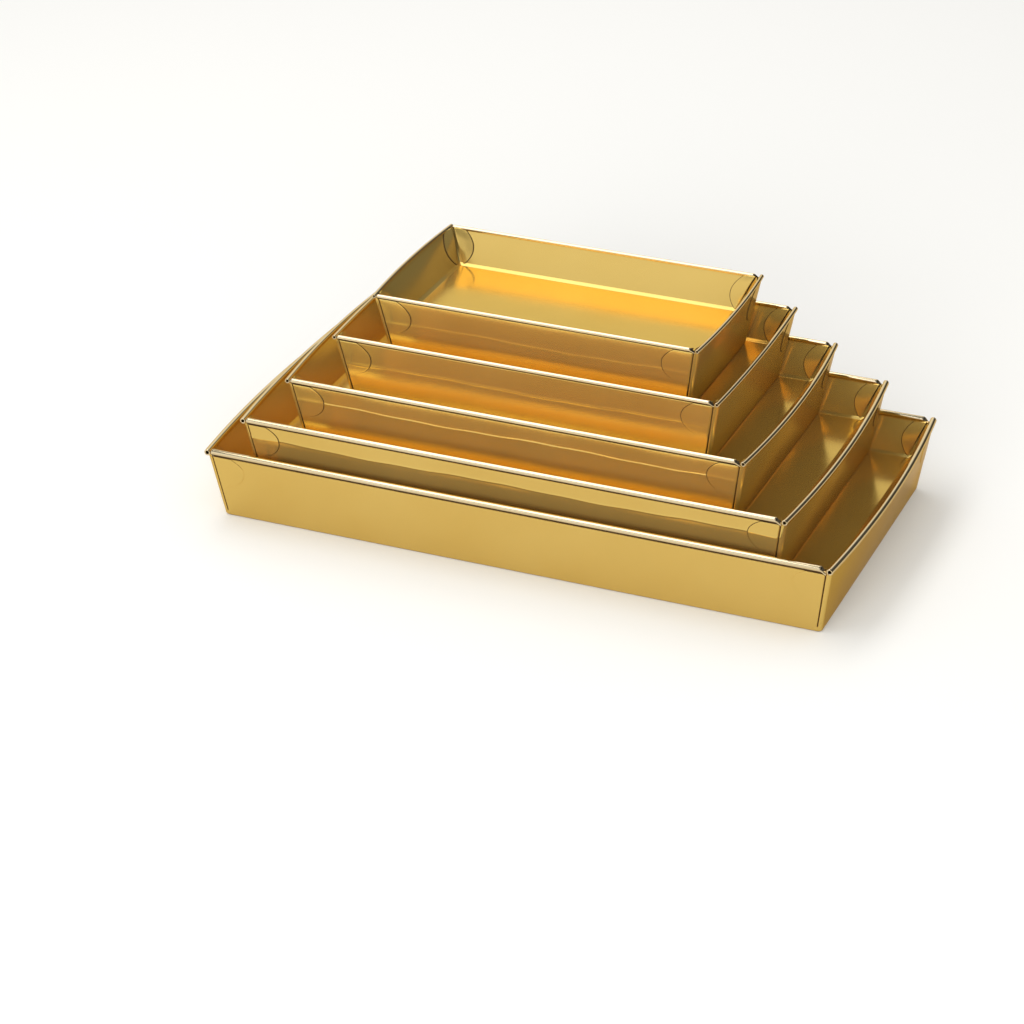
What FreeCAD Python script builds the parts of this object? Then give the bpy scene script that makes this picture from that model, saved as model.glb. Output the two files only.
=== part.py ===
import FreeCAD, Part
import math
import os
from dataclasses import dataclass
from FreeCAD import Vector

# A stepped stack of five open trays. Each tray is folded from one sheet of foil-faced board: its floor is
# raised inside, its walls are double, and its rim is rolled. Each smaller tray stands on the raised floor
# of the next larger one, pushed towards the back wall.
#
# Millimetres, +Z up, +X along the long sides, +Y towards the back. The origin is on the table, under the
# middle of the largest tray.

# Board
board = 0.6                   # thickness of the foil-faced board

# Rolled rim
bead_diameter = 4.0           # outside of the roll
bead_bore = 2.1               # open core of the roll, seen at its ends
bead_grip = 0.6               # how far the two walls reach up into the roll
rim_notch = 2.6               # gap between the end of a long roll and the roll beside it
roll_flats = 12               # flats round the outside of a roll
core_flats = 8                # flats round its open core
bow_chords = 6                # straight chords along a bowed side

# Section of a tray, measured inwards from the outer edge of its rim
foot_inset = 7.8              # outer wall, at the table
floor_inset = 11.3            # inner wall, at the floor
foot_flange = 6.0             # strip turned in under the outer wall, on which the tray stands
floor_rise = 22.4             # top of the floor above the tray's foot
fold_radius = 1.4             # outer folds, along the foot and up the corners
crease_radius = 1.6           # fold between floor and inner walls
fold_bevels = 2               # bevels round a fold

# Corner tabs, glued flat on the inner walls
tab_thickness = 0.35
tab_width = 10.5              # widest reach from the corner
tab_rim_width = 7.5           # reach from the corner at the rim
tab_widest_at = 0.56          # share of the wall's height at which the tab is widest

# Largest tray, outside the rim at its corners
largest_length = 400.0
largest_depth = 207.0
smallest_height = 44.0
height_step = 0.75            # each larger size is this much taller

# Outward bow of the short sides at the middle of their rims
largest_bow = 5.5
large_bow = 5.5
middle_bow = 5.0
small_bow = 2.0
smallest_bow = 2.5

# Room round a tray's foot on the floor of the tray below, up to that floor's creases
room_back = 0.4
large_room_left = 18.0
large_room_right = 27.0
large_room_front = 4.2
middle_room_left = 18.0
middle_room_right = 29.0
middle_room_front = 16.0
small_room_left = 17.0
small_room_right = 22.0
small_room_front = 21.0
smallest_room_left = 14.5
smallest_room_right = 16.5
smallest_room_front = 16.5
smallest_room_back = 4.5

bead_radius = bead_diameter / 2
bore_radius = bead_bore / 2
UP = Vector(0, 0, 1)


@dataclass
class Tray:
    """Where one tray stands and how large its rim is."""
    name: str
    length: float             # over the rim's corners, along X
    depth: float              # over the rim, along Y
    height: float
    bow: float
    centre: Vector            # middle of its foot, at the height that it stands on

    def half(self, inset):
        """Half length and half depth at an inset from the rim's outer edge."""
        return self.length / 2 - inset, self.depth / 2 - inset

    def neck(self):
        """Height at which the two walls end inside the roll."""
        return self.height - bead_diameter + bead_grip


@dataclass
class Room:
    """Free strips round a foot on the floor below it."""
    left: float
    right: float
    front: float
    back: float


def tray_on(below, name, height, bow, room):
    """The tray whose foot leaves this room on the floor of the tray below."""
    half_x, half_y = below.half(floor_inset)
    left = -half_x + room.left
    right = half_x - room.right
    front = -half_y + room.front
    back = half_y - room.back
    centre = below.centre + Vector((left + right) / 2, (front + back) / 2, floor_rise)
    length = right - left + 2 * foot_inset
    depth = back - front + 2 * foot_inset
    return Tray(name, length, depth, height, bow, centre)


def stack():
    """The five trays, from the largest on the table to the smallest on top."""
    heights = [smallest_height + height_step * k for k in range(5)]
    smallest_h, small_h, middle_h, large_h, largest_h = heights
    largest = Tray("largest_tray", largest_length, largest_depth, largest_h, largest_bow, Vector(0, 0, 0))
    large = tray_on(largest, "large_tray", large_h, large_bow,
                    Room(large_room_left, large_room_right, large_room_front, room_back))
    middle = tray_on(large, "middle_tray", middle_h, middle_bow,
                     Room(middle_room_left, middle_room_right, middle_room_front, room_back))
    small = tray_on(middle, "small_tray", small_h, small_bow,
                    Room(small_room_left, small_room_right, small_room_front, room_back))
    smallest = tray_on(small, "smallest_tray", smallest_h, smallest_bow,
                       Room(smallest_room_left, smallest_room_right, smallest_room_front, smallest_room_back))
    return [largest, large, middle, small, smallest]


# Outlines and the solids between them

def bowed_side(half_x, half_y, bow, z, side):
    """Points along a short side from front to back, on chords of the bow: bow times 1 - (y / half_y) squared."""
    shares = [2 * k / bow_chords - 1 for k in range(bow_chords + 1)]
    return [Vector(side * (half_x + bow * (1 - s ** 2)), s * half_y, z) for s in shares]


def corner_points(half_x, half_y, corner, z, turn):
    """Points round an upright fold, a quarter circle that starts a number of quarter turns from +X."""
    angles = [math.pi / 2 * (turn + k / fold_bevels) for k in range(fold_bevels + 1)]
    centre_x = math.copysign(half_x - corner, math.cos(angles[0]) + math.cos(angles[-1]))
    centre_y = math.copysign(half_y - corner, math.sin(angles[0]) + math.sin(angles[-1]))
    return [Vector(centre_x + corner * math.cos(a), centre_y + corner * math.sin(a), z) for a in angles]


def outline(half_x, half_y, bow, z, corner):
    """Points of a level rectangle whose short sides bow outwards, with its corners sharp or rounded."""
    right = bowed_side(half_x, half_y - corner, bow, z, 1)
    left = bowed_side(half_x, half_y - corner, bow, z, -1)[::-1]
    if corner == 0:
        return right + left
    front_right, back_right, back_left, front_left = [corner_points(half_x, half_y, corner, z, turn)
                                                      for turn in (-1, 0, 1, 2)]
    return front_right[:-1] + right + back_right[1:] + back_left[:-1] + left + front_left[1:]


def flat_pieces(a, b, c, d):
    """The four-cornered patch a, b, c, d as one flat face, or as two where it is twisted.

    The fold between the two runs to whichever upper corner, c or d, lies further out.
    """
    level = 1e-6
    if abs((b - a).cross(d - a).normalize().dot(c - a)) < level:
        pieces = [[a, b, c, d]]
    elif abs(c.x) > abs(d.x):
        pieces = [[a, b, c], [a, c, d]]
    else:
        pieces = [[a, b, d], [b, c, d]]
    return [Part.Face(Part.makePolygon(p + p[:1])) for p in pieces]


def bowl(tray, levels, corner=0):
    """A solid through level outlines, given as insets and heights. Only the highest outline is bowed."""
    rings = [outline(*tray.half(inset), 0, z, corner) for inset, z in levels[:-1]]
    high_inset, high_z = levels[-1]
    rings.append(outline(*tray.half(high_inset), tray.bow, high_z, corner))
    faces = [Part.Face(Part.makePolygon(ring + ring[:1])) for ring in (rings[0], rings[-1])]
    for low, high in zip(rings, rings[1:]):
        patches = zip(low, low[1:] + low[:1], high[1:] + high[:1], high)
        faces += [piece for patch in patches for piece in flat_pieces(*patch)]
    skin = Part.makeShell(faces)
    skin.sewShape()
    return Part.makeSolid(skin)


def lean(low_inset, low_z, high_inset, high_z, z):
    """Inset at a height on the straight line of a wall."""
    return low_inset + (high_inset - low_inset) * (z - low_z) / (high_z - low_z)


def fold_levels(inset, z, slope, radius):
    """Insets and heights round the fold between a level sheet and the wall that leans out above it."""
    sweep = math.pi / 2 - math.atan(slope)
    centre_inset = inset + radius * math.tan(sweep / 2)
    turns = [sweep * k / fold_bevels for k in range(fold_bevels + 1)]
    return [(centre_inset - radius * math.sin(t), z + radius * (1 - math.cos(t))) for t in turns]


# One tray

def slopes(tray):
    """How far the outer and the inner walls lean out for each millimetre that they rise."""
    skirt = (foot_inset - bead_radius + board) / tray.neck()
    wall = (floor_inset - bead_radius - board) / (tray.neck() - floor_rise)
    return skirt, wall


def outer_block(tray):
    """The tray's outside, solid, with its outer folds rounded."""
    skirt_slope, _ = slopes(tray)
    fold = fold_levels(foot_inset, 0, skirt_slope, fold_radius)
    return bowl(tray, fold + [(bead_radius - board, tray.neck())], fold_radius)


def cavity(tray):
    """The open inside of the tray above its floor, rounded along the floor's creases."""
    _, wall_slope = slopes(tray)
    high_inset = lean(floor_inset, floor_rise, bead_radius + board, tray.neck(), tray.height)
    fold = fold_levels(floor_inset, floor_rise, wall_slope, crease_radius)
    return bowl(tray, fold + [(high_inset, tray.height)])


def hollow_beneath(tray):
    """The space under the floor and between the two walls, open at the foot."""
    skirt_slope, wall_slope = slopes(tray)
    skirt_board = board * math.hypot(1, skirt_slope)
    wall_board = board * math.hypot(1, wall_slope)
    inside_skirt = bowl(tray, [(foot_inset + skirt_board - skirt_slope * board, board),
                               (bead_radius - board + skirt_board, tray.neck())])
    pan = bowl(tray, [(floor_inset - wall_board + wall_slope * board, floor_rise - board),
                      (bead_radius + board - wall_board, tray.neck())])
    half_x, half_y = tray.half(foot_inset + foot_flange)
    mouth = Part.makeBox(2 * half_x, 2 * half_y, 2 * board, Vector(-half_x, -half_y, -board / 2))
    return inside_skirt.cut(pan).fuse(mouth)


def ring_section(radius, flats, start, ahead):
    """The closed outline of a round drawn with flats that touch it, square to the run that it starts."""
    corner_radius = radius / math.cos(math.pi / flats)
    across = ahead.cross(UP).normalize()
    turns = [2 * math.pi * (k + 0.5) / flats for k in range(flats)]
    corners = [start + (across * math.cos(t) + UP * math.sin(t)) * corner_radius for t in turns]
    return Part.makePolygon(corners + corners[:1])


def roll_along(points):
    """A roll with an open core along a chain of chords, mitred where they meet."""
    path = Part.makePolygon(points)
    ahead = points[1] - points[0]
    outside, core = [path.makePipeShell([ring_section(radius, flats, points[0], ahead)], True, False, 1)
                     for radius, flats in ((bead_radius, roll_flats), (bore_radius, core_flats))]
    return outside.cut(core)


def long_roll(tray, side):
    """The rolled rim of a long side, which stops short of the rolls beside it."""
    half_x, half_y = tray.half(bead_radius)
    reach = half_x - bead_radius - rim_notch
    z = tray.height - bead_radius
    return roll_along([Vector(-reach, side * half_y, z), Vector(reach, side * half_y, z)])


def short_roll(tray, side):
    """The rolled rim of a short side, bowed outwards, with both ends open."""
    half_x, half_y = tray.half(bead_radius)
    return roll_along(bowed_side(half_x, half_y + bead_radius, tray.bow, tray.height - bead_radius, side))


def tab_outline(corner, top, rise):
    """A tab on the wall whose floor crease runs along local X from the corner, as a face in the plane of XZ.

    The tab starts at the floor corner, swells away from the corner and narrows again towards the rim.
    """
    widest_z = corner.z + tab_widest_at * rise
    widest_x = corner.x + (top.x - corner.x) * tab_widest_at - tab_width
    rim_end = top - Vector(tab_rim_width, 0, 0)
    curve = Part.Arc(corner, Vector(widest_x, corner.y, widest_z), rim_end).toShape()
    closing = Part.makePolygon([rim_end, top, corner])
    return Part.Face(Part.Wire([curve] + closing.Edges))


def corner_tabs(tray):
    """The rounded tabs of the back right corner, as a thin layer on the two walls."""
    neck = tray.neck()
    _, wall_slope = slopes(tray)
    inner_gap = tab_thickness * math.hypot(1, wall_slope)
    layer = bowl(tray, [(floor_inset, floor_rise), (bead_radius + board, neck)])
    layer = layer.cut(bowl(tray, [(floor_inset + inner_gap, floor_rise), (bead_radius + board + inner_gap, neck)]))
    half_x, half_y = tray.half(floor_inset)
    top_x, top_y = tray.half(bead_radius + board)
    rise = neck - floor_rise
    back = tab_outline(Vector(half_x, 0, floor_rise), Vector(top_x, 0, neck), rise)
    side = tab_outline(Vector(half_y, 0, floor_rise), Vector(top_y, 0, neck), rise)
    side.rotate(Vector(0, 0, 0), UP, 90)
    margin = tab_thickness * 2
    back.translate(Vector(0, half_y - margin, 0))
    side.translate(Vector(half_x - margin, 0, 0))
    back_tab = back.extrude(Vector(0, top_y - half_y + 2 * margin, 0)).common(layer)
    side_tab = side.extrude(Vector(top_x - half_x + tray.bow + 2 * margin, 0, 0)).common(layer)
    return back_tab.fuse(side_tab)


def four_corners(shape):
    """A shape and its mirror images in the other three corners."""
    origin = Vector(0, 0, 0)
    pair = [shape, shape.mirror(origin, Vector(1, 0, 0))]
    return pair + [s.mirror(origin, Vector(0, 1, 0)) for s in pair]


def folded_tray(tray):
    """One tray as a single solid of board, standing at its place in the stack."""
    walls = outer_block(tray).cut([cavity(tray), hollow_beneath(tray)])
    rolls = [roll(tray, side) for roll in (long_roll, short_roll) for side in (-1, 1)]
    solid = walls.fuse(rolls + four_corners(corner_tabs(tray)))
    solid.translate(tray.centre)
    return solid


def main():
    os.makedirs("parts", exist_ok=True)
    for tray in stack():
        solid = folded_tray(tray)
        solid.exportStep(os.path.join("parts", tray.name + ".step"))
        print(tray.name, round(tray.length, 1), round(tray.depth, 1), round(tray.height, 2),
              "solids", len(solid.Solids), "valid", solid.isValid(), "volume", round(solid.Volume))


main()
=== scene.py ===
"""A stepped stack of five gold foil board trays, each standing on the raised floor of the next larger one.

Every tray is one folded sheet: raised floor, leaning inner walls, rolled rims with open ends, outer walls
and a strip turned in at the foot. Lengths are in metres, +Z is up and +Y points to the back.
"""

import logging
import math
from dataclasses import dataclass, field
from enum import Enum

import bmesh
import bpy
import numpy as np
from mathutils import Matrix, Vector


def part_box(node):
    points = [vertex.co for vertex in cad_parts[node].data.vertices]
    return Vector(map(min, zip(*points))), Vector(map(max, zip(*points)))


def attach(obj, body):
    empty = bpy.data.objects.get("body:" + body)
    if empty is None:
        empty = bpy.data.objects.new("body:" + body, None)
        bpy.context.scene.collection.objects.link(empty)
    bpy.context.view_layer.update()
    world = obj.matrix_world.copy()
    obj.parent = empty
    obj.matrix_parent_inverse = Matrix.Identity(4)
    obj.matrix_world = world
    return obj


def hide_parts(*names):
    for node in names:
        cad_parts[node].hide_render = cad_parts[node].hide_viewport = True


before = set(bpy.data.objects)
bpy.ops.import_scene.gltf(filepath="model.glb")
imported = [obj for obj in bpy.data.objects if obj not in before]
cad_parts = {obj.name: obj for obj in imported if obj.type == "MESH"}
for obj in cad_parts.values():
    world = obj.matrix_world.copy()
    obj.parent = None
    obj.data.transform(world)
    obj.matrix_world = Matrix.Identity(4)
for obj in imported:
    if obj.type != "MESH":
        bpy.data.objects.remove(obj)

MM = 0.001
BODY = "root"
ARC_STEP = math.radians(11)
SAME_POINT = 0.002 * MM
COLUMN_STEP = 5 * MM
# Places of the columns nearest a corner, close enough together to carry the slit there
CORNER_COLUMNS = np.concatenate([np.arange(0, 1.3, 0.1), [1.5, 1.8, 2.3, 3, 4]]) * MM

log = logging.getLogger("trays")


class Side(Enum):
    """The four walls of a tray, as the outward direction of each in plan."""

    FRONT = (0, -1)
    RIGHT = (1, 0)
    BACK = (0, 1)
    LEFT = (-1, 0)


class Face(Enum):
    """Which face of the board a surface shows, as its material slot."""

    FOIL = 0
    REVERSE = 1
    # Cut board edge and painted shade: the dark lines of the slits, under the rims, along the foot and round the
    # tabs
    CUT = 2
    RIM = 3


def linear(hex_colour: str) -> tuple[float, float, float, float]:
    """Turns an sRGB hex colour into linear light.

    Args:
        hex_colour: Six hex digits, such as "DDB268".

    Returns:
        Red, green, blue and an alpha of 1.
    """
    values = [int(hex_colour[k:k + 2], 16) / 255 for k in (0, 2, 4)]
    red, green, blue = [v / 12.92 if v <= 0.04045 else ((v + 0.055) / 1.055) ** 2.4 for v in values]
    return red, green, blue, 1.0


def add_node(tree: bpy.types.NodeTree, kind: str, links: dict | None = None, **settings) -> bpy.types.Node:
    """Adds a node with its settings, socket values and links.

    Args:
        tree: The node tree to add to.
        kind: The node's type name.
        links: Input name or index to a value, or to an output socket.
        settings: Attributes of the node.

    Returns:
        The new node.
    """
    node = tree.nodes.new(kind)
    for name, value in settings.items():
        setattr(node, name, value)
    for name, value in (links or {}).items():
        if isinstance(value, bpy.types.NodeSocket):
            tree.links.new(value, node.inputs[name])
        else:
            node.inputs[name].default_value = value
    return node


def smooth_step(low: float, high: float, x: np.ndarray) -> np.ndarray:
    """Rises from 0 at low to 1 at high along 3t² − 2t³."""
    t = np.clip((x - low) / (high - low), 0, 1)
    return t * t * (3 - 2 * t)


@dataclass
class Shell:
    """A closed surface: points, four-cornered faces and the face of the board that each shows."""

    points: np.ndarray
    quads: np.ndarray
    faces: np.ndarray

    @staticmethod
    def from_grid(grid: np.ndarray, wrap_rows: bool, show: np.ndarray) -> "Shell":
        """Joins the points of a grid whose columns close on themselves.

        Face (i, j) joins row i to row i + 1 and column j to column j + 1, counted round. Where the rows don't
        close, the first and the last are single points that have been repeated along the row.

        Args:
            grid: Points, rows by columns by 3.
            wrap_rows: Whether the last row joins the first.
            show: Board face for each face of the grid, or for each column.

        Returns:
            The shell.
        """
        rows, cols = grid.shape[:2]
        index = np.arange(rows * cols).reshape(rows, cols)
        upper = np.roll(index, -1, axis=0)
        if not wrap_rows:
            index, upper = index[:-1], upper[:-1]
        quads = np.stack([index, np.roll(index, -1, axis=1), np.roll(upper, -1, axis=1), upper], axis=-1)
        shown = np.broadcast_to(show, quads.shape[:2])
        return Shell(grid.reshape(-1, 3), quads.reshape(-1, 4), shown.reshape(-1))

    @staticmethod
    def joined(shells: list["Shell"]) -> "Shell":
        """Puts several shells into one list of points and faces."""
        starts = np.cumsum([0] + [len(s.points) for s in shells[:-1]])
        return Shell(np.concatenate([s.points for s in shells]),
                     np.concatenate([s.quads + start for s, start in zip(shells, starts)]),
                     np.concatenate([s.faces for s in shells]))

    def to_object(self, name: str, materials: list[bpy.types.Material]) -> bpy.types.Object:
        """Makes a smooth mesh object of the shell, with doubles merged and faces turned outwards.

        Args:
            name: The object's name.
            materials: One material for each board face.

        Returns:
            The object, linked to the scene and standing at the origin.
        """
        mesh = bpy.data.meshes.new(name)
        mesh.vertices.add(len(self.points))
        mesh.vertices.foreach_set("co", self.points.astype(np.float32).ravel())
        mesh.loops.add(self.quads.size)
        mesh.loops.foreach_set("vertex_index", self.quads.astype(np.int32).ravel())
        mesh.polygons.add(len(self.quads))
        mesh.polygons.foreach_set("loop_start", np.arange(0, self.quads.size, 4, dtype=np.int32))
        mesh.polygons.foreach_set("material_index", self.faces.astype(np.int32))
        mesh.update(calc_edges=True)
        mesh.validate()
        for material in materials:
            mesh.materials.append(material)
        piece = bpy.data.objects.new(name, mesh)
        bpy.context.scene.collection.objects.link(piece)
        tidy_mesh(mesh)
        return piece


def tidy_mesh(mesh: bpy.types.Mesh) -> None:
    """Merges repeated points, drops faces with no area, turns normals outwards and shades smoothly."""
    work = bmesh.new()
    work.from_mesh(mesh)
    bmesh.ops.remove_doubles(work, verts=work.verts, dist=0.001 * MM)
    bmesh.ops.dissolve_degenerate(work, edges=work.edges, dist=0.001 * MM)
    bmesh.ops.recalc_face_normals(work, faces=work.faces)
    work.to_mesh(mesh)
    work.free()
    mesh.polygons.foreach_set("use_smooth", np.ones(len(mesh.polygons), dtype=bool))
    mesh.update()


@dataclass(frozen=True)
class FoldedBoard:
    """Sizes of the board and its folds, the same on every tray. Insets are measured in from the rim."""

    board: float = 0.6 * MM
    bore_share: float = 0.525
    grip: float = 0.6 * MM
    roll_gap: float = 0.3 * MM
    tip_length: float = 3.4 * MM
    tip_drop: float = 1.1
    foot_inset: float = 7.8 * MM
    floor_inset: float = 11.3 * MM
    flange: float = 6.0 * MM
    floor_rise: float = 22.4 * MM
    fold_radius: float = 1.4 * MM
    crease_radius: float = 1.6 * MM
    outer_corner: float = 2.4 * MM
    inner_corner: float = 1.2 * MM
    bevel_run: float = 1.5 * MM
    bevel_rise: float = 1.25 * MM
    bevel_radius: float = 0.35 * MM
    lip_step: float = 0.25 * MM
    lip_clearance: float = 0.7 * MM
    floor_margin: float = 9 * MM
    # Height of the band along the foot that carries painted contact shadow
    foot_shade_height: float = 0.35 * MM
    seam_distance: float = 0.55 * MM
    seam_width: float = 0.4 * MM
    seam_depth: float = 0.5 * MM
    tab_stand: float = 2.3 * MM
    tab_widest_drop: float = 12 * MM
    tab_end_drop: float = 26 * MM


@dataclass(frozen=True)
class PressedLine:
    """The line pressed into the long walls, and the slow waves that all outer walls have."""

    wave_height: float = 0.035 * MM
    wave_length: float = 170 * MM
    wave_climb: float = 90 * MM
    wander: float = 0.6 * MM
    wander_length: float = 140 * MM
    quiver: float = 0.25 * MM
    quiver_length: float = 37 * MM
    crest: float = 0.7 * MM
    reach_above: float = 1.6 * MM
    reach_below: float = 5 * MM


@dataclass(frozen=True)
class RollForm:
    """Form of a rolled rim. Shares are of the bead's radius, angles run from outwards over up."""

    facets: int = 24
    end_round: float = 0.2
    tip_taper: float = 0.3
    # These three place the band of painted shade on the long rolls: outer skin only, and the angle and reach of
    # the band
    skin_share: float = 0.69
    shade_line_at: float = math.radians(315)
    shade_line_reach: float = math.radians(32)


@dataclass(frozen=True)
class Tab:
    """A rounded corner tab, glued flat on a wall, or showing through the foil of one."""

    width: float
    thickness: float
    puff: float
    start: float
    edge: float = 0.5 * MM
    sunk: float = 0.25 * MM


INNER_TAB = Tab(width=10.7 * MM, thickness=0.42 * MM, puff=0.3 * MM, start=2.8 * MM)
OUTER_TAB = Tab(width=18.5 * MM, thickness=0.3 * MM, puff=0.1 * MM, start=3.5 * MM)


def fibrous(name: str, pale_hex: str, dark_hex: str, fibre_length: float) -> bpy.types.Material:
    """Matt board pulp whose fibres show as small spots of two tones.

    Args:
        name: The material's name.
        pale_hex: Its lighter colour.
        dark_hex: Its darker colour.
        fibre_length: Size of the spots.

    Returns:
        The material, on Object coordinates.
    """
    material = bpy.data.materials.new(name)
    material.use_nodes = True
    tree = material.node_tree
    tree.nodes.clear()
    place = add_node(tree, "ShaderNodeTexCoord").outputs["Object"]
    pulp = add_node(tree, "ShaderNodeTexNoise", {"Vector": place, "Scale": 1 / fibre_length, "Detail": 4.0})
    colour = add_node(tree, "ShaderNodeMix", {
        0: pulp.outputs["Fac"], 6: linear(dark_hex), 7: linear(pale_hex)}, data_type="RGBA")
    relief = add_node(tree, "ShaderNodeBump", {"Height": pulp.outputs["Fac"], "Distance": 0.03 * MM})
    shader = add_node(tree, "ShaderNodeBsdfPrincipled", {
        "Base Color": colour.outputs[2], "Roughness": 0.85, "Normal": relief.outputs[0]})
    add_node(tree, "ShaderNodeOutputMaterial", {"Surface": shader.outputs[0]})
    return material


@dataclass(frozen=True)
class GoldFoil:
    """Satin gold foil: aluminium under a yellow lacquer, pressed flat on board.

    It mirrors what is near it and blurs what is further off. Its lacquer scatters some light, and keeps it
    gold at grazing angles too. It has faint level streaks and soft waves.
    """

    name: str = "gold foil laminated on board"
    light_hex: str = "EFCF7A"
    deep_hex: str = "E6C26A"
    metallic: float = 0.78
    roughness: float = 0.16
    roughness_spread: float = 0.06
    grazing_hex: str = "F1CF84"
    lacquer_shine: float = 0.25
    tone_length: float = 55 * MM
    haze_length: float = 24 * MM
    wave_length: float = 38 * MM
    wave_height: float = 0.04 * MM
    streak_length: float = 26 * MM
    streak_width: float = 2.4 * MM
    streak_height: float = 0.012 * MM

    def material(self) -> bpy.types.Material:
        """Builds the foil's material on Object coordinates."""
        material = bpy.data.materials.new(self.name)
        material.use_nodes = True
        tree = material.node_tree
        tree.nodes.clear()
        place = add_node(tree, "ShaderNodeTexCoord").outputs["Object"]
        tone = add_node(tree, "ShaderNodeTexNoise", {
            "Vector": place, "Scale": 1 / self.tone_length, "Detail": 2.0})
        colour = add_node(tree, "ShaderNodeMix", {0: tone.outputs["Fac"], 6: linear(self.deep_hex),
                                                  7: linear(self.light_hex)}, data_type="RGBA")
        haze = add_node(tree, "ShaderNodeTexNoise", {
            "Vector": place, "Scale": 1 / self.haze_length, "Detail": 4.0})
        satin = add_node(tree, "ShaderNodeMapRange", {
            "Value": haze.outputs["Fac"], "From Min": 0.3, "From Max": 0.7,
            "To Min": self.roughness - self.roughness_spread / 2,
            "To Max": self.roughness + self.roughness_spread / 2})
        wave = add_node(tree, "ShaderNodeTexNoise", {"Vector": place, "Scale": 1 / self.wave_length,
                                                     "Detail": 1.0})
        along = 1 / self.streak_length
        drawn = add_node(tree, "ShaderNodeMapping", {"Vector": place,
                                                     "Scale": (along, along, 1 / self.streak_width)})
        streak = add_node(tree, "ShaderNodeTexNoise", {
            "Vector": drawn.outputs[0], "Scale": 1.0, "Detail": 3.0})
        soft = add_node(tree, "ShaderNodeBump", {"Height": wave.outputs["Fac"], "Strength": 1.0,
                                                 "Distance": self.wave_height})
        fine = add_node(tree, "ShaderNodeBump", {"Height": streak.outputs["Fac"], "Strength": 1.0,
                                                 "Distance": self.streak_height, "Normal": soft.outputs[0]})
        shader = add_node(tree, "ShaderNodeBsdfPrincipled", {
            "Base Color": colour.outputs[2], "Metallic": self.metallic, "Roughness": satin.outputs[0],
            "Specular Tint": linear(self.grazing_hex), "Specular IOR Level": self.lacquer_shine,
            "Normal": fine.outputs[0]})
        add_node(tree, "ShaderNodeOutputMaterial", {"Surface": shader.outputs[0]})
        return material


@dataclass(frozen=True)
class CutEdgeAndShade:
    """The raw edge of the board where the sheet was cut, brown pulp, matt and near black, and painted shade: the
    same dark material stands in for shade in the slits, under the rims, along the foot and round the tabs.
    """

    name: str = "cut board edge and painted shade"
    # Near-black browns, darker than bare board, so that the edge reads as painted shade
    pale_hex: str = "54380F"
    dark_hex: str = "2C1A06"
    fibre_length: float = 0.7 * MM

    def material(self) -> bpy.types.Material:
        """Builds the material of the cut edge and painted shade on Object coordinates."""
        return fibrous(self.name, self.pale_hex, self.dark_hex, self.fibre_length)


@dataclass(frozen=True)
class PlainReverse:
    """The uncoated back of the board: grey pulp with short fibres, matt, seen only from below."""

    name: str = "uncoated grey board"
    pale_hex: str = "C9C0AE"
    dark_hex: str = "B3A993"
    fibre_length: float = 0.9 * MM

    def material(self) -> bpy.types.Material:
        """Builds the reverse's material on Object coordinates."""
        return fibrous(self.name, self.pale_hex, self.dark_hex, self.fibre_length)


def spaced(start: float, end: float, ends_step: float, ends_width: float, step: float) -> np.ndarray:
    """Values from start to end, close together near both ends and further apart between.

    Args:
        start: First value.
        end: Last value.
        ends_step: Spacing near the ends.
        ends_width: How far the close spacing reaches.
        step: Spacing between.

    Returns:
        Rising values, the ends among them.
    """
    length = end - start
    width = min(ends_width, length / 3)
    near = np.linspace(0, width, max(2, round(width / ends_step) + 1))
    middle = np.linspace(width, length - width, max(2, round((length - 2 * width) / step) + 1))
    return start + np.unique(np.concatenate([near, middle, length - near]).round(9))


def rounded_path(corners: list[tuple[float, float]], radii: list[float], step: float) -> np.ndarray:
    """Points along straight runs whose corners are rounded by arcs that touch both runs.

    Each arc starts and ends at radius times the tangent of half the turn from its corner, and turns evenly.

    Args:
        corners: Corners of the path in a plane, the ends among them.
        radii: Radius at each corner, 0 at the ends.
        step: Spacing along the straight runs, closer near their ends.

    Returns:
        Points by 2.
    """
    knots = np.array(corners, float)
    out: list[np.ndarray] = []
    previous = knots[0]
    for k in range(1, len(knots)):
        leave = arrive = knots[k]
        arc = np.empty((0, 2))
        if k < len(knots) - 1 and radii[k] > 0:
            before = (knots[k] - knots[k - 1]) / np.linalg.norm(knots[k] - knots[k - 1])
            after = (knots[k + 1] - knots[k]) / np.linalg.norm(knots[k + 1] - knots[k])
            cross = before[0] * after[1] - before[1] * after[0]
            turn = math.atan2(cross, float(before @ after))
            reach = radii[k] * math.tan(abs(turn) / 2)
            arrive, leave = knots[k] - reach * before, knots[k] + reach * after
            inward = math.copysign(1, turn) * np.array([-before[1], before[0]])
            middle = arrive + radii[k] * inward
            angles = np.linspace(0, turn, max(4, round(abs(turn) / ARC_STEP)) + 1)[1:]
            start = arrive - middle
            arc = middle + np.stack([start[0] * np.cos(angles) - start[1] * np.sin(angles),
                                     start[0] * np.sin(angles) + start[1] * np.cos(angles)], axis=1)
        length = float(np.linalg.norm(arrive - previous))
        run = spaced(0, length, 0.4 * MM, 0.8 * MM, step)[:, None] / length
        out += [previous + run * (arrive - previous), arc]
        previous = leave
    path = np.concatenate(out)
    keep = np.concatenate([[True], np.linalg.norm(np.diff(path, axis=0), axis=1) > SAME_POINT])
    return path[keep]


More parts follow.
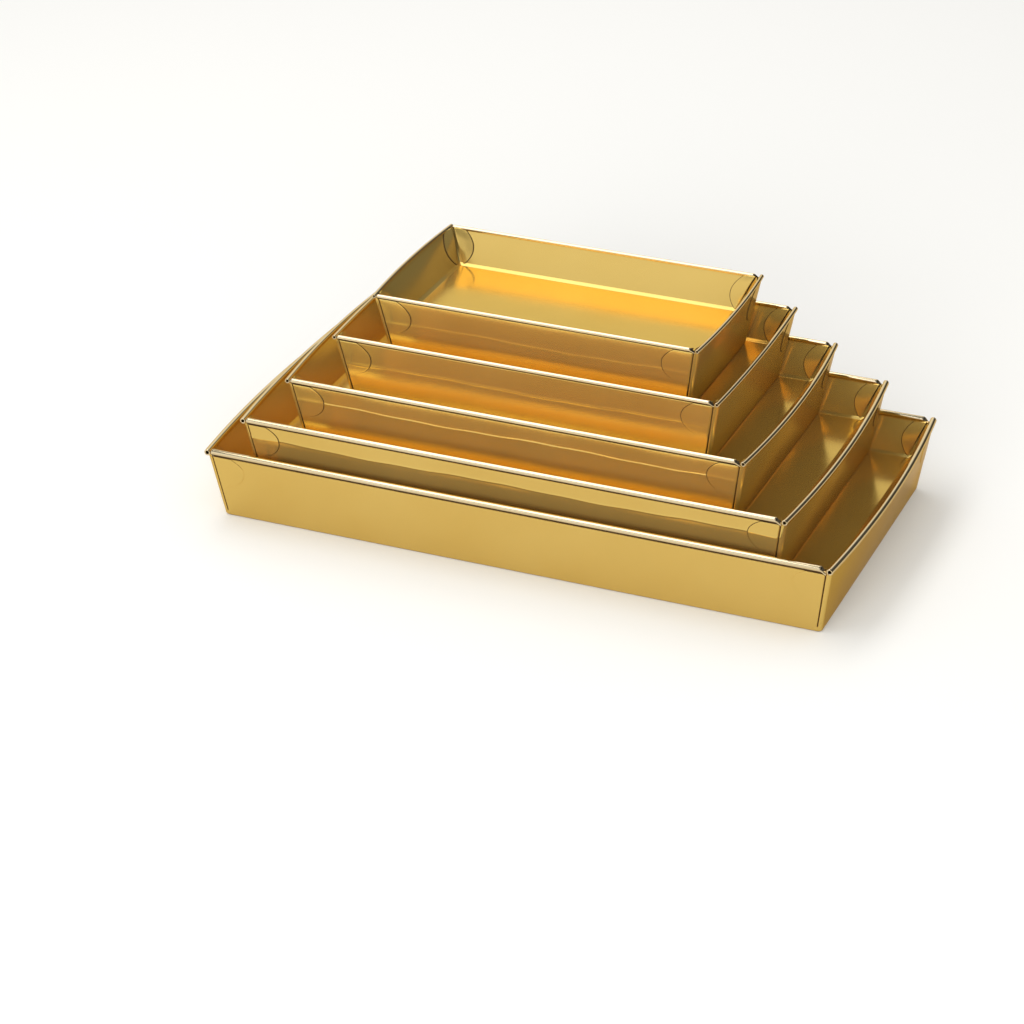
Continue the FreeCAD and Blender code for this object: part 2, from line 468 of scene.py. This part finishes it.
@dataclass
class Perimeter:
    """Round trip of a rectangle with rounded corners, as a template that any ring of the tray follows.

    A point lies at core · (half size − radius) + outward · radius, so straight runs and corner arcs keep
    their share of points at every size.
    """

    core: np.ndarray
    outward: np.ndarray

    @staticmethod
    def of(half_x: float, half_y: float, radius: float) -> "Perimeter":
        """Template for a rectangle of this size, with close points near its corners."""
        cores, outwards = [], []
        spans = {Side.FRONT: half_x - radius, Side.RIGHT: half_y - radius,
                 Side.BACK: half_x - radius, Side.LEFT: half_y - radius}
        for side, span in spans.items():
            nx, ny = side.value
            count = round((2 * span - 2 * COLUMN_STEP) / COLUMN_STEP) + 1
            middle = np.linspace(COLUMN_STEP - span, span - COLUMN_STEP, count)
            along = np.concatenate([CORNER_COLUMNS - span, middle, span - CORNER_COLUMNS[:0:-1]]) / span
            cores.append(np.stack([nx - ny * along, ny + nx * along], axis=1))
            outwards.append(np.tile([nx, ny], (len(along), 1)))
            angle = math.atan2(ny, nx) + np.linspace(0, math.pi / 2, 9)[:-1]
            cores.append(np.tile([nx - ny, ny + nx], (len(angle), 1)))
            outwards.append(np.stack([np.cos(angle), np.sin(angle)], axis=1))
        return Perimeter(np.concatenate(cores).astype(float), np.concatenate(outwards).astype(float))


@dataclass
class Tray:
    """One folded tray at its place in the stack: the bow of its short sides, its bead's radius and its line.

    The ridge is the pressed line's height, 0 where the tray has none, and it lies ridge_drop below the rim.
    """

    node: str
    bow: float
    bead: float
    ridge: float
    ridge_drop: float
    seed: int
    fold: FoldedBoard = FoldedBoard()
    line: PressedLine = PressedLine()
    form: RollForm = RollForm()

    def __post_init__(self) -> None:
        """Takes length, depth, height and place from the tray's box in the frame."""
        low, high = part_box(self.node)
        self.half_x = (high.x - low.x) / 2 - self.bow
        self.half_y = (high.y - low.y) / 2
        self.height = high.z - low.z
        self.place = np.array([(low.x + high.x) / 2, (low.y + high.y) / 2, low.z])
        self.neck = self.height - 2 * self.bead + self.fold.grip
        self.lip_height = self.bead - self.fold.lip_clearance
        self.ridge_z = self.height - self.ridge_drop
        self.phases = np.random.default_rng(self.seed).uniform(0, 2 * math.pi, 6)

    def outer_inset(self, z: np.ndarray) -> np.ndarray:
        """Inset of the outer wall at a height: a straight line from foot to neck."""
        f = self.fold
        return f.foot_inset + (self.bead - f.board - f.foot_inset) * z / self.neck

    def inner_inset(self, z: np.ndarray) -> np.ndarray:
        """Inset of the inner wall's face at a height: a straight line from floor to neck."""
        f = self.fold
        share = (z - f.floor_rise) / (self.neck - f.floor_rise)
        return f.floor_inset + (self.bead + f.board - f.floor_inset) * share

    def rings(self, template: Perimeter, inset: np.ndarray, z: np.ndarray, radius: np.ndarray,
              bow_share: np.ndarray) -> np.ndarray:
        """Rounded rectangles at several insets and heights, the short sides bowed outwards.

        The bow adds bow · share · (x / half length) · (1 − (y / half depth)²) to x.

        Args:
            template: Round trip that every ring follows.
            inset: Inset of each ring from the rim.
            z: Height of each ring over the foot.
            radius: Corner radius of each ring.
            bow_share: Share of the rim's bow that each ring has.

        Returns:
            Points, rings by template points by 3.
        """
        half = np.stack([self.half_x - inset, self.half_y - inset], axis=1)[:, None, :]
        round_off = radius[:, None, None]
        flat = template.core[None] * (half - round_off) + template.outward[None] * round_off
        x, y = flat[..., 0], flat[..., 1]
        swell = self.bow * bow_share[:, None] * (x / half[..., 0]) * (1 - (y / half[..., 1]) ** 2)
        return np.stack([x + swell, y, np.broadcast_to(z[:, None], x.shape)], axis=-1)

    def relief(self, along: np.ndarray, z: np.ndarray, long_side: np.ndarray | bool) -> np.ndarray:
        """How far the outer wall stands proud of flat, at places along it and heights.

        Three slow waves along the wall, plus, on the long sides, a pressed line that wanders up and down:
        ridge · (exp(−(distance / crest)²) / 2 + exp(−distance / reach)), with a short reach above the line and
        a long one below.

        Args:
            along: Place along the wall.
            z: Height over the foot.
            long_side: Whether the wall is a long side.

        Returns:
            Distance outwards.
        """
        w = self.line
        p = self.phases
        turns = [along * (k + 1) / w.wave_length + z * (2 - k) / w.wave_climb for k in range(3)]
        slow = sum(np.sin(2 * math.pi * turn + p[k]) for k, turn in enumerate(turns)) * w.wave_height
        wander = (w.wander * np.sin(2 * math.pi * along / w.wander_length + p[4])
                  + w.quiver * np.sin(2 * math.pi * along / w.quiver_length + p[5]))
        gap = z - self.ridge_z - wander
        slope = np.where(gap > 0, np.exp(-gap / w.reach_above), np.exp(gap / w.reach_below))
        crest = np.exp(-(gap / w.crest) ** 2) / 2
        return slow + np.where(long_side, self.ridge * (crest + slope), 0.0)

    def wall_point(self, side: Side, along: np.ndarray, z: np.ndarray, lift: np.ndarray,
                   outer: bool) -> np.ndarray:
        """Points on a wall or a little off its surface.

        Args:
            side: The wall.
            along: Place along the wall, from its middle.
            z: Height over the foot.
            lift: Distance off the surface, towards the open air.
            outer: Whether it is the outer wall.

        Returns:
            Points, with the shape of the arguments by 3.
        """
        f = self.fold
        nx, ny = side.value
        long_side = nx == 0
        inset = self.outer_inset(z) if outer else self.inner_inset(z)
        share = z / self.neck if outer else (z - f.floor_rise) / (self.neck - f.floor_rise)
        slope = (f.foot_inset - self.bead + f.board) / self.neck if outer else \
            (f.floor_inset - self.bead - f.board) / (self.neck - f.floor_rise)
        tilt = math.atan(slope)
        half_along = (self.half_x if long_side else self.half_y) - inset
        bow = 0 if long_side else self.bow * share * (1 - (along / half_along) ** 2)
        across = (self.half_y if long_side else self.half_x) - inset + bow
        if outer:
            off = lift + self.relief(along, z, long_side)
            across, height = across + off * math.cos(tilt), z - off * math.sin(tilt)
        else:
            across, height = across - lift * math.cos(tilt), z + lift * math.sin(tilt)
        return np.stack([nx * across - ny * along, ny * across + nx * along, height], axis=-1)

    def section(self) -> tuple[np.ndarray, int]:
        """The sheet's section as insets and heights, foil face first, and how many points that face has.

        The outer wall has extra points round the pressed line. The reverse follows the foil face a board's
        thickness behind it, a little clear of it where the sheet turns.
        """
        f = self.fold
        neck = self.neck
        wall_slope = (f.floor_inset - self.bead - f.board) / (neck - f.floor_rise)
        lip_z = neck - self.lip_height
        beyond = f.floor_inset + f.floor_margin
        under_lip = lip_z - 0.15 * MM
        rows = self.ridge_z + np.arange(2, -2.1, -0.5) * MM
        wall = [(float(self.outer_inset(z)), float(z)) for z in [under_lip, *rows]]
        foil = rounded_path(
            [(beyond, f.floor_rise), (f.floor_inset + f.bevel_run, f.floor_rise),
             (f.floor_inset - wall_slope * f.bevel_rise, f.floor_rise + f.bevel_rise),
             (self.bead + f.board, neck), (self.bead - f.board + f.lip_step, neck),
             (wall[0][0] + f.lip_step, lip_z), *wall, (f.foot_inset, 0), (f.foot_inset + f.flange, 0)],
            [0, f.bevel_radius, f.bevel_radius, 0, 0, *[0] * (len(wall) + 1), f.fold_radius, 0], 1.4 * MM)
        skirt = f.board * math.hypot(1, (f.foot_inset - self.bead + f.board) / neck)
        foot_clear, neck_clear, neck_drop, floor_clear = 0.08 * MM, 0.1 * MM, 0.8 * MM, 0.2 * MM
        under_floor = f.floor_rise - f.board
        reverse = rounded_path(
            [(f.foot_inset + f.flange, f.board), (f.foot_inset + skirt - foot_clear, f.board),
             (self.bead + neck_clear, neck - neck_drop),
             (f.floor_inset - skirt + floor_clear, under_floor), (beyond, under_floor)],
            [0, f.fold_radius / 2, 0, f.crease_radius, 0], 9 * MM)
        return np.concatenate([foil, reverse]), len(foil)

    def sheet(self) -> Shell:
        """The folded sheet: its section carried round the tray, with the slits beside the outer corners.

        The floor is the first and the last ring, drawn in to a point in even steps. A slit is a groove of
        depth · exp(−(distance / width)⁴), and shows the cut edge of the board, darkened as painted shade. The
        lip under the long rims and the foot carry the same dark material as painted shade: the shadow under
        the roll and the contact shadow along the foot.

        Returns:
            The closed sheet.
        """
        f = self.fold
        neck = self.neck
        wall_foot, slit_foot, wall_full = 1.5 * MM, 2.4 * MM, 3 * MM
        corner_fade, slack = 4 * MM, 0.05 * MM
        path, foil_count = self.section()
        foil = np.arange(len(path)) < foil_count
        inset, z = path[:, 0], path[:, 1]
        skirt_face = inset <= self.outer_inset(z) + f.board + 0.4 * MM
        radius = np.where(skirt_face, f.outer_corner, f.inner_corner)
        share = np.where(skirt_face, z / neck, np.clip((z - f.floor_rise) / (neck - f.floor_rise), 0, 1))
        template = Perimeter.of(self.half_x - f.foot_inset, self.half_y - f.foot_inset, f.outer_corner)
        rings = self.rings(template, inset, z, radius, share)
        outside = (inset <= self.outer_inset(z) + f.lip_step + slack) & foil
        wall = outside & (z > wall_foot) & (z < neck - self.lip_height)
        long_side = (np.abs(template.outward[:, 1]) == 1)[None]
        short_side = (np.abs(template.outward[:, 0]) == 1)[None]
        along = np.where(long_side, rings[..., 0], rings[..., 1])
        half_along = np.where(long_side, self.half_x, self.half_y) - inset[:, None]
        from_corner = half_along - np.abs(along)
        push = self.relief(along, z[:, None], long_side) * smooth_step(0, 1, from_corner / corner_fade)
        seam = (from_corner - f.outer_corner - f.seam_distance) / f.seam_width
        groove = f.seam_depth * np.exp(-seam ** 4)
        push = np.where(long_side, push - groove, np.where(short_side, push, 0.0))
        fade = smooth_step(wall_foot, wall_full, z)[:, None]
        push = np.where(wall[:, None], push * fade, 0.0)
        rings[..., :2] += push[..., None] * template.outward[None]
        steps = np.array([0.0, 0.2, 0.4, 0.6, 0.8, 0.93])
        scale = np.stack([steps, steps, np.ones(len(steps))], axis=1)[:, None, :]
        grid = np.concatenate([rings[0][None] * scale, rings, rings[-1][None] * scale[::-1]])
        # Painted shade: the dark cut-edge material goes on the slits, on the lip under the long rims in place of
        # the shadow under the roll, and along the foot
        slit = long_side & (np.abs(seam) < 0.95) & (wall & (z > slit_foot))[:, None]
        lip = outside & (z > neck - self.lip_height - slack) & (z < neck + 2 * slack)
        # Band along the foot for the painted contact shadow
        foot_shade_line = (z < f.foot_shade_height) & foil
        cut = slit | (lip[:, None] & long_side) | foot_shade_line[:, None]
        cut = cut[:-1] & cut[1:] & np.roll(cut, -1, axis=1)[:-1]
        shown = np.full((len(grid) - 1, grid.shape[1]), Face.FOIL.value)
        shown[len(steps) + foil_count - 1:] = Face.REVERSE.value
        shown[len(steps):len(steps) + len(cut)][cut] = Face.CUT.value
        return Shell.from_grid(grid, False, shown)

    def tab(self, side: Side, end: int, outer: bool) -> Shell:
        """A corner tab as a thin closed plate with a rounded edge, slightly puffed.

        An inner tab is spread · t − draw_in · t² wide at share t of the wall's height, and stands off the
        wall towards the corner. An outer one is width · (1 − 0.35 u²) above its widest place and
        width · √(1 − u²) below it, where u is the share of the way to its end. The lift is the thickness,
        rounded off along the edges, plus puff · sin(π · place). The far edge shows the dark cut-edge material,
        partly the cut edge and partly a painted shade line round the tab, but not on the outer tabs of a tray
        with no pressed line, which hardly show.

        Args:
            side: The wall that carries it.
            end: 1 or −1, the end of the wall.
            outer: Whether it shows on the outer wall.

        Returns:
            The closed plate.
        """
        f = self.fold
        form = OUTER_TAB if outer else INNER_TAB
        if outer:
            top = self.neck - self.lip_height
            tip, bottom = self.height - f.tab_widest_drop, self.height - f.tab_end_drop
            z = np.concatenate([tip - (tip - bottom) * np.cos(np.linspace(0, math.pi / 2, 26))[:-1],
                                np.linspace(tip, top, 12)])
            u = np.where(z > tip, (z - tip) / (top - tip), (tip - z) / (tip - bottom))
            share = np.where(z > tip, 1 - 0.35 * u ** 2, np.sqrt(np.clip(1 - u ** 2, 0, 1)))
            inset = self.outer_inset(z)
        else:
            spread, draw_in, top = 33.1 * MM, 25.6 * MM, self.neck + 0.5 * MM
            t = np.linspace(0.03, 1, 26)
            z = f.floor_rise + t * (top - f.floor_rise)
            share = (spread * t - draw_in * t ** 2) / form.width
            inset = self.inner_inset(z)
        width = np.maximum(form.width * share, 0.02 * MM)[:, None]
        edge = np.minimum(form.edge / width, 0.45)
        q = np.linspace(0, 1, 9)[None]
        inner_q = edge * (1 - np.cos(q * math.pi / 2))
        outer_q = 1 - edge * (1 - np.sin(q * math.pi / 2))
        middle_q = edge + (1 - 2 * edge) * q[:, 1:-1]
        place = np.concatenate([inner_q, middle_q, outer_q], axis=1)
        rise = np.concatenate([np.sin(q * math.pi / 2) + 0 * edge, 1 + 0 * middle_q,
                               np.cos(q * math.pi / 2) + 0 * edge], axis=1)
        height_share = ((z - z[0]) / (z[-1] - z[0]))[:, None]
        puff = form.puff * np.sin(math.pi * place) * np.sin(math.pi * height_share) * share[:, None]
        if not outer:
            stand = f.tab_stand * (1 - place) ** 1.3 * np.sin(math.pi * height_share / 2)
            puff = puff + stand * share[:, None]
        lift = np.concatenate([form.thickness * rise + puff, np.full((len(z), 2), -form.sunk)], axis=1)
        place = np.concatenate([place, np.ones((len(z), 1)), np.zeros((len(z), 1))], axis=1)
        corner = (self.half_x if side.value[0] == 0 else self.half_y) - inset[:, None]
        along = end * (corner - form.start - place * width)
        points = self.wall_point(side, along, np.broadcast_to(z[:, None], along.shape), lift, outer)
        caps = [np.broadcast_to(points[k].mean(axis=0), points[k].shape)[None] for k in (0, -1)]
        shown = np.full(points.shape[1], Face.FOIL.value)
        # Painted shade: the far edge takes the dark cut-edge material as a shade line round the tab
        if not outer or self.ridge > 0:
            shown[inner_q.shape[1] + middle_q.shape[1]:] = Face.CUT.value
        return Shell.from_grid(np.concatenate([caps[0], points, caps[1]]), False, shown)

    def tabs(self) -> list[Shell]:
        """Inner tabs at both ends of all walls, outer ones there on long walls and at the rear of short ones."""
        shells = [self.tab(side, end, False) for side in Side for end in (-1, 1)]
        long_sides = [(Side.FRONT, 1), (Side.FRONT, -1), (Side.BACK, 1), (Side.BACK, -1)]
        short_sides = [(Side.RIGHT, 1), (Side.LEFT, -1)]
        return shells + [self.tab(side, end, True) for side, end in long_sides + short_sides]

    def roll(self, side: Side) -> Shell:
        """A rolled rim: a tube with an open core and rounded ends, carried along its side.

        The section is a closed loop of (place along the roll, radius). A point lies at
        axis + radius · (cos · out + sin · up). The axis of a short side is bowed by bow · (1 − (y / reach)²).
        A long roll tapers and droops at its right end, and shows a dark line of painted shade, in the cut
        edge's material, on its outer underside.

        Args:
            side: The side whose rim it is.

        Returns:
            The closed tube.
        """
        f, form = self.fold, self.form
        nx, ny = side.value
        long_side = nx == 0
        half_across = (self.half_y if long_side else self.half_x) - self.bead
        reach = self.half_x - 2 * self.bead - f.roll_gap if long_side else self.half_y
        bore = f.bore_share * self.bead
        lip = form.end_round * self.bead
        along = spaced(-reach + lip, reach - lip, 0.6 * MM, 8 * MM, 9 * MM)
        turn = np.linspace(0, math.pi, 7)[1:-1]
        mid = (self.bead + bore) / 2
        wall = (self.bead - bore) / 2
        end_s = reach - lip + lip * np.sin(turn)
        end_r = mid + wall * np.cos(turn)
        s = np.concatenate([along, end_s, along[::-1], -end_s])
        r = np.concatenate([np.full(len(along), self.bead), end_r, np.full(len(along), bore), end_r[::-1]])
        angle = np.linspace(0, 2 * math.pi, form.facets, endpoint=False)
        tip = smooth_step(reach - f.tip_length, reach, nx * s - ny * s) if long_side else 0 * s
        r = r * (1 - form.tip_taper * tip)
        up = r[:, None] * np.sin(angle) + (self.height - self.bead - f.tip_drop * self.bead * tip)[:, None]
        out = r[:, None] * np.cos(angle)
        bow = 0 if long_side else self.bow
        across = half_across + bow * (1 - (s / reach) ** 2)
        distance = across[:, None] + out
        run = np.broadcast_to(s[:, None], distance.shape)
        points = np.stack([nx * distance - ny * run, ny * distance + nx * run, up], axis=-1)
        # Painted shade: a dark band of the cut-edge material on the outer underside of each long roll, in place
        # of the shadow under it
        under = np.abs(angle + math.pi / form.facets - form.shade_line_at) < form.shade_line_reach
        dark = (r >= form.skin_share * self.bead)[:, None] & under[None] & long_side
        return Shell.from_grid(points, True, np.where(dark, Face.CUT.value, Face.RIM.value))

    def build(self, materials: list[bpy.types.Material]) -> bpy.types.Object:
        """Builds the tray's mesh at its place in the stack.

        Args:
            materials: One material for each board face.

        Returns:
            The tray's object.
        """
        shells = [self.sheet()] + [self.roll(side) for side in Side] + self.tabs()
        whole = Shell.joined(shells)
        whole.points = whole.points + self.place
        return whole.to_object(self.node.replace("_tray", "_foil_tray"), materials)


@dataclass(frozen=True)
class SoftBox:
    """A soft box that faces the stack. Its radiance is the brightness of its face, where 1 is white."""

    name: str
    place: tuple[float, float, float]
    size: tuple[float, float]
    radiance: float
    mirrored: bool = True

    def build(self) -> None:
        """Hangs the lamp at its place and turns it to the stack."""
        width, height = self.size
        data = bpy.data.lights.new(self.name, "AREA")
        data.shape = "RECTANGLE"
        data.size = width
        data.size_y = height
        data.energy = self.radiance * math.pi * width * height
        lamp = bpy.data.objects.new(self.name, data)
        lamp.location = self.place
        middle_of_stack = Vector((0, 0, 0.05))
        lamp.rotation_euler = (middle_of_stack - Vector(self.place)).to_track_quat("-Z", "Y").to_euler()
        lamp.visible_glossy = self.mirrored
        bpy.context.scene.collection.objects.link(lamp)


@dataclass
class Studio:
    """Pale table, soft lamps, white surroundings and the camera.

    The world seen in the foil rises from shade_level to lit_level towards lit_side, and falls to
    ceiling_level of that towards the top. The fill is the world's strength for light that isn't mirrored.
    """

    azimuth: float = math.radians(21.97)
    elevation: float = math.radians(28.19)
    distance: float = 2.0251
    lens: float = 115.03
    shift: tuple[float, float] = (-0.0604, -0.0109)
    table_half: float = 4.0
    table_hex: str = "FCFBF7"
    table_mirrored_hex: str = "D2CCBF"
    lit_side: tuple[float, float, float] = (-0.9, 0.0, 0.35)
    shade_from: float = -0.02
    shade_to: float = 0.36
    shade_level: float = 0.06
    lit_level: float = 0.8
    ceiling_from: float = 0.55
    ceiling_to: float = 0.75
    ceiling_level: float = 0.22
    fill: float = 0.68
    lamps: tuple[SoftBox, ...] = (
        SoftBox("overhead soft box", (-0.55, 0.0, 1.5), (2.6, 0.6), 1.85),
        SoftBox("front soft box", (0.5, -3.0, 0.9), (3.0, 1.2), 6.6, mirrored=False))

    def table(self) -> None:
        """A flat pale table top under the stack, a little darker where the foil mirrors it."""
        half = self.table_half
        mesh = bpy.data.meshes.new("table")
        mesh.from_pydata([(-half, -half, 0), (half, -half, 0), (half, half, 0), (-half, half, 0)], [],
                         [(0, 1, 2, 3)])
        material = bpy.data.materials.new("matt white table")
        material.use_nodes = True
        shader = material.node_tree.nodes["Principled BSDF"]
        seen = add_node(material.node_tree, "ShaderNodeLightPath").outputs["Is Camera Ray"]
        colour = add_node(material.node_tree, "ShaderNodeMix", {
            0: seen, 6: linear(self.table_mirrored_hex), 7: linear(self.table_hex)}, data_type="RGBA")
        material.node_tree.links.new(colour.outputs[2], shader.inputs["Base Color"])
        shader.inputs["Roughness"].default_value = 0.9
        shader.inputs["Specular IOR Level"].default_value = 0.0
        mesh.materials.append(material)
        table = bpy.data.objects.new("table", mesh)
        bpy.context.scene.collection.objects.link(table)

    def surroundings(self) -> None:
        """White all round for the camera, soft light and shade for reflections, an even fill for the rest."""
        world = bpy.data.worlds.new("white studio")
        world.use_nodes = True
        tree = world.node_tree
        tree.nodes.clear()
        path = add_node(tree, "ShaderNodeLightPath")
        place = add_node(tree, "ShaderNodeTexCoord").outputs["Generated"]
        lit = add_node(tree, "ShaderNodeVectorMath", {0: place, 1: self.lit_side}, operation="DOT_PRODUCT")
        shade = add_node(tree, "ShaderNodeMapRange", {
            "Value": lit.outputs["Value"], "From Min": self.shade_from, "From Max": self.shade_to,
            "To Min": self.shade_level, "To Max": self.lit_level}, interpolation_type="SMOOTHSTEP")
        height = add_node(tree, "ShaderNodeSeparateXYZ", {0: place})
        ceiling = add_node(tree, "ShaderNodeMapRange", {
            "Value": height.outputs["Z"], "From Min": self.ceiling_from, "From Max": self.ceiling_to,
            "To Min": 1.0, "To Max": self.ceiling_level}, interpolation_type="SMOOTHSTEP")
        shown = add_node(tree, "ShaderNodeMath", {0: shade.outputs[0], 1: ceiling.outputs[0]},
                         operation="MULTIPLY")
        mirrored = add_node(tree, "ShaderNodeMath", {
            0: path.outputs["Is Glossy Ray"], 1: path.outputs["Is Transmission Ray"]}, operation="MAXIMUM")
        unseen = add_node(tree, "ShaderNodeMapRange", {"Value": mirrored.outputs[0], "To Min": self.fill,
                                                       "To Max": shown.outputs[0]})
        strength = add_node(tree, "ShaderNodeMapRange", {"Value": path.outputs["Is Camera Ray"],
                                                         "To Min": unseen.outputs[0], "To Max": 1.0})
        back = add_node(tree, "ShaderNodeBackground", {"Color": linear("FFFFFF"),
                                                       "Strength": strength.outputs[0]})
        add_node(tree, "ShaderNodeOutputWorld", {"Surface": back.outputs[0]})
        bpy.context.scene.world = world

    def camera(self) -> None:
        """The camera at the photograph's viewing angle, aimed at the origin and shifted to its frame."""
        data = bpy.data.cameras.new("camera")
        data.sensor_width = 36.0
        data.lens = self.lens
        data.shift_x, data.shift_y = self.shift
        data.clip_end = 50.0
        camera = bpy.data.objects.new("camera", data)
        flat = math.cos(self.elevation) * self.distance
        camera.location = (flat * math.sin(self.azimuth), -flat * math.cos(self.azimuth),
                           math.sin(self.elevation) * self.distance)
        camera.rotation_euler = (-camera.location).to_track_quat("-Z", "Y").to_euler()
        bpy.context.scene.collection.objects.link(camera)
        bpy.context.scene.camera = camera

    def build(self) -> None:
        """Sets up the table, the light and the camera."""
        self.table()
        self.surroundings()
        for lamp in self.lamps:
            lamp.build()
        self.camera()
        bpy.context.scene.view_settings.view_transform = "Standard"


@dataclass
class TrayStack:
    """The five trays, from the largest on the table to the smallest on top."""

    trays: list[Tray] = field(default_factory=lambda: [
        Tray("largest_tray", bow=5.5 * MM, bead=2.0 * MM, ridge=0.0, ridge_drop=13 * MM, seed=11),
        Tray("large_tray", bow=5.5 * MM, bead=1.8 * MM, ridge=0.26 * MM, ridge_drop=13 * MM, seed=12),
        Tray("middle_tray", bow=5.0 * MM, bead=1.6 * MM, ridge=0.26 * MM, ridge_drop=14.5 * MM, seed=13),
        Tray("small_tray", bow=2.0 * MM, bead=1.4 * MM, ridge=0.2 * MM, ridge_drop=18 * MM, seed=14),
        Tray("smallest_tray", bow=2.5 * MM, bead=1.25 * MM, ridge=0.2 * MM, ridge_drop=18.5 * MM, seed=15)])

    def build(self) -> None:
        """Builds and dresses every tray, and puts each in the place of its CAD node."""
        # Painted highlight: a paler copy of the foil on the rolled rims, so that they shine near white
        rim = GoldFoil("paler gold foil of the rolled rim with painted highlight", light_hex="FFF0CF", deep_hex="F6DFAE",
                       metallic=1.0, roughness=0.1, roughness_spread=0.04)
        materials = [GoldFoil().material(), PlainReverse().material(), CutEdgeAndShade().material(), rim.material()]
        for tray in self.trays:
            piece = tray.build(materials)
            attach(piece, BODY)
            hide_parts(tray.node)
            log.info("%s: %d faces", piece.name, len(piece.data.polygons))


def main() -> None:
    """Builds the stack and its studio."""
    logging.basicConfig(level=logging.INFO, format="%(message)s")
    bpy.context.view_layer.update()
    TrayStack().build()
    Studio().build()


if __name__ == "__main__":
    main()
